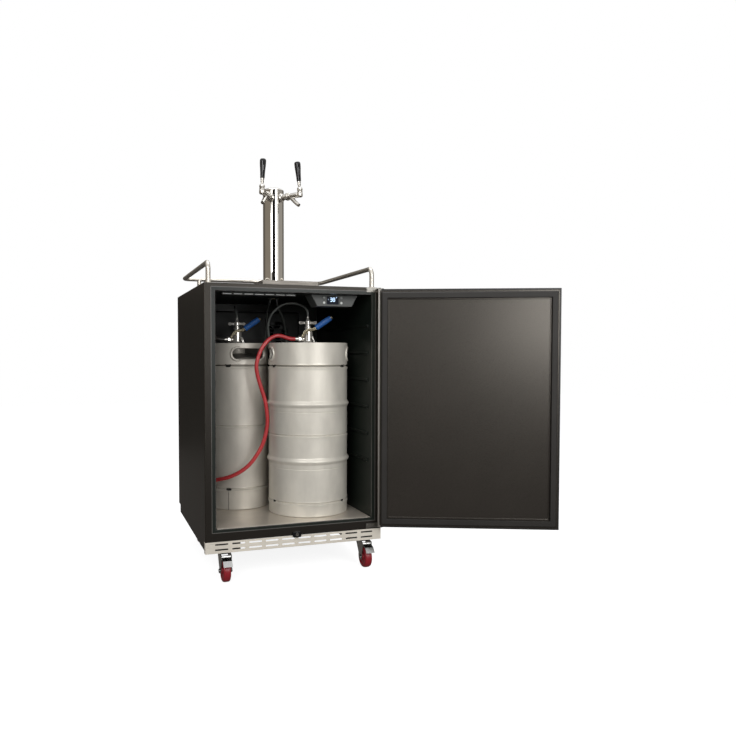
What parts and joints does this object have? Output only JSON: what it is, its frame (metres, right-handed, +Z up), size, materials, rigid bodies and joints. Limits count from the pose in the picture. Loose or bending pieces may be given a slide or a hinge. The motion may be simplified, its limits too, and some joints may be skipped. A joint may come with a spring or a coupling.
{
  "type": "kegerator",
  "caption": "Freestanding beer cooler on casters with its door open, kegs inside, guard rail and a draft tower with taps on top.",
  "frame": {"origin": "centre of the cabinet's footprint at the underside of the base pan, without the open door", "axes": "+Z up, -Y out of the cabinet's front, +X towards the side with the door's hinges"},
  "size_m": [1.1542, 0.9384, 1.4299],
  "materials": {
    "black_steel": "dark satin paint",
    "dark_liner": "dark moulded plastic, satin",
    "foam": "rigid insulation foam",
    "brushed_stainless": "brushed stainless steel",
    "polished_stainless": "polished stainless steel",
    "keg_stainless": "satin stainless steel",
    "galvanised_steel": "zinc plated steel",
    "black_plastic": "black plastic",
    "door_panel": "black satin moulded panel",
    "grey_plastic": "dark grey plastic",
    "pale_button": "pale grey plastic",
    "gasket_rubber": "soft dark gasket",
    "red_hose": "red hose, satin",
    "red_tyre": "red polyurethane",
    "blue_grip": "blue grip",
    "beer_line": "translucent hose",
    "pale_brass": "plated brass",
    "compressor_black": "black enamel"
  },
  "bodies": {
    "cabinet": {"outer_case": "black_steel", "base_frame": "black_steel", "inner_liner": "dark_liner", "insulation_foam": "foam", "floor_plate": "brushed_stainless", "kick_grille": "brushed_stainless", "guard_rail": "brushed_stainless", "drip_tray": "brushed_stainless", "tower_column": "polished_stainless", "tower_cap": "polished_stainless", "faucet_left": "polished_stainless", "faucet_right": "polished_stainless", "coupler_body_left": "polished_stainless", "coupler_body_right": "polished_stainless", "keg_left": "keg_stainless", "keg_right": "keg_stainless", "back_cover": "galvanised_steel", "condenser": "galvanised_steel", "top_hinge": "galvanised_steel", "bottom_hinge": "galvanised_steel", "lock_case": "black_plastic", "evaporator_cover": "grey_plastic", "control_housing": "grey_plastic", "ceiling_vent": "grey_plastic", "gas_hose_left": "red_hose", "gas_hose_right": "red_hose", "beer_line_left": "beer_line", "beer_line_right": "beer_line", "compressor": "compressor_black"},
    "door": {"door_skin": "brushed_stainless", "door_foam": "foam", "door_panel": "door_panel", "door_gasket": "gasket_rubber", "door_handle": "brushed_stainless"},
    "lock_plug": {"lock_plug": "galvanised_steel"},
    "drip_grate": {"drip_grate": "brushed_stainless"},
    "condenser_fan": {"condenser_fan": "black_plastic"},
    "evaporator_fan": {"evaporator_fan": "black_plastic"},
    "button_0_0": {"button_0_0": "pale_button"},
    "button_0_1": {"button_0_1": "pale_button"},
    "button_1_0": {"button_1_0": "pale_button"},
    "button_1_1": {"button_1_1": "pale_button"},
    "tap_left": {"tap_lever_left": "polished_stainless", "tap_handle_left": "black_plastic"},
    "tap_right": {"tap_lever_right": "polished_stainless", "tap_handle_right": "black_plastic"},
    "coupler_arm_left": {"coupler_lever_left": "pale_brass", "coupler_grip_left": "blue_grip"},
    "coupler_arm_right": {"coupler_lever_right": "pale_brass", "coupler_grip_right": "blue_grip"},
    "fork_front_left": {"fork_front_left": "galvanised_steel"},
    "fork_front_right": {"fork_front_right": "galvanised_steel"},
    "fork_rear_left": {"fork_rear_left": "galvanised_steel"},
    "fork_rear_right": {"fork_rear_right": "galvanised_steel"},
    "wheel_front_left": {"wheel_front_left": "red_tyre"},
    "wheel_front_right": {"wheel_front_right": "red_tyre"},
    "wheel_rear_left": {"wheel_rear_left": "red_tyre"},
    "wheel_rear_right": {"wheel_rear_right": "red_tyre"},
    "pedal_front_left": {"pedal_front_left": "galvanised_steel"},
    "pedal_front_right": {"pedal_front_right": "galvanised_steel"}
  },
  "joints": [
    {"name": "door_hinge", "type": "hinge", "parent": "cabinet", "child": "door", "pos_m": [0.2925, -0.347, 0.4], "axis": [0, 0, 1], "range_deg": [-157.2, 10]},
    {"name": "lock_turn", "type": "hinge", "parent": "cabinet", "child": "lock_plug", "pos_m": [0, -0.3273, 0.00325], "axis": [0, 1, 0], "range_deg": [0, 90]},
    {"name": "button_0_0_press", "type": "slide", "parent": "cabinet", "child": "button_0_0", "axis": [0, 1, 0], "range_m": [0, 0.001], "stiffness_N_per_m": 400, "springref_m": -0.0005},
    {"name": "button_0_1_press", "type": "slide", "parent": "cabinet", "child": "button_0_1", "axis": [0, 1, 0], "range_m": [0, 0.001], "stiffness_N_per_m": 400, "springref_m": -0.0005},
    {"name": "button_1_0_press", "type": "slide", "parent": "cabinet", "child": "button_1_0", "axis": [0, 1, 0], "range_m": [0, 0.001], "stiffness_N_per_m": 400, "springref_m": -0.0005},
    {"name": "button_1_1_press", "type": "slide", "parent": "cabinet", "child": "button_1_1", "axis": [0, 1, 0], "range_m": [0, 0.001], "stiffness_N_per_m": 400, "springref_m": -0.0005},
    {"name": "tap_left_lever", "type": "hinge", "parent": "cabinet", "child": "tap_left", "pos_m": [-0.0689, -0.13609, 1.182], "axis": [0.8387, -0.5446, 0], "range_deg": [0, 35]},
    {"name": "tap_right_lever", "type": "hinge", "parent": "cabinet", "child": "tap_right", "pos_m": [0.0689, -0.13609, 1.182], "axis": [0.8387, 0.5446, 0], "range_deg": [0, 35]},
    {"name": "coupler_left_lever", "type": "hinge", "parent": "cabinet", "child": "coupler_arm_left", "pos_m": [-0.122, 0.044, 0.6763], "axis": [0.3256, 0.9455, 0], "range_deg": [0, 44]},
    {"name": "coupler_right_lever", "type": "hinge", "parent": "cabinet", "child": "coupler_arm_right", "pos_m": [0.1, -0.131, 0.6763], "axis": [0.3256, 0.9455, 0], "range_deg": [0, 44]},
    {"name": "grate_lift", "type": "slide", "parent": "cabinet", "child": "drip_grate", "axis": [0, 0, 1], "range_m": [0, 0.06]},
    {"name": "condenser_fan_spin", "type": "hinge", "parent": "cabinet", "child": "condenser_fan", "pos_m": [-0.0864, 0.2569, 0.0773], "axis": [1, 0, 0], "continuous": true},
    {"name": "evaporator_fan_spin", "type": "hinge", "parent": "cabinet", "child": "evaporator_fan", "pos_m": [0.085, 0.244, 0.69], "axis": [0, 1, 0], "continuous": true},
    {"name": "front_left_swivel", "type": "hinge", "parent": "cabinet", "child": "fork_front_left", "pos_m": [-0.233, -0.256, -0.045], "axis": [0, 0, 1], "continuous": true},
    {"name": "front_left_roll", "type": "hinge", "parent": "fork_front_left", "child": "wheel_front_left", "pos_m": [-0.233, -0.284, -0.1055], "axis": [1, 0, 0], "continuous": true},
    {"name": "front_left_brake", "type": "hinge", "parent": "fork_front_left", "child": "pedal_front_left", "pos_m": [-0.233, -0.296, -0.057], "axis": [1, 0, 0], "range_deg": [0, 10]},
    {"name": "front_right_swivel", "type": "hinge", "parent": "cabinet", "child": "fork_front_right", "pos_m": [0.262, -0.256, -0.045], "axis": [0, 0, 1], "continuous": true},
    {"name": "front_right_roll", "type": "hinge", "parent": "fork_front_right", "child": "wheel_front_right", "pos_m": [0.262, -0.284, -0.1055], "axis": [1, 0, 0], "continuous": true},
    {"name": "front_right_brake", "type": "hinge", "parent": "fork_front_right", "child": "pedal_front_right", "pos_m": [0.262, -0.296, -0.057], "axis": [1, 0, 0], "range_deg": [0, 10]},
    {"name": "rear_left_swivel", "type": "hinge", "parent": "cabinet", "child": "fork_rear_left", "pos_m": [-0.233, 0.256, -0.045], "axis": [0, 0, 1], "continuous": true},
    {"name": "rear_left_roll", "type": "hinge", "parent": "fork_rear_left", "child": "wheel_rear_left", "pos_m": [-0.233, 0.228, -0.1055], "axis": [1, 0, 0], "continuous": true},
    {"name": "rear_right_swivel", "type": "hinge", "parent": "cabinet", "child": "fork_rear_right", "pos_m": [0.262, 0.256, -0.045], "axis": [0, 0, 1], "continuous": true},
    {"name": "rear_right_roll", "type": "hinge", "parent": "fork_rear_right", "child": "wheel_rear_right", "pos_m": [0.262, 0.228, -0.1055], "axis": [1, 0, 0], "continuous": true}
  ]
}
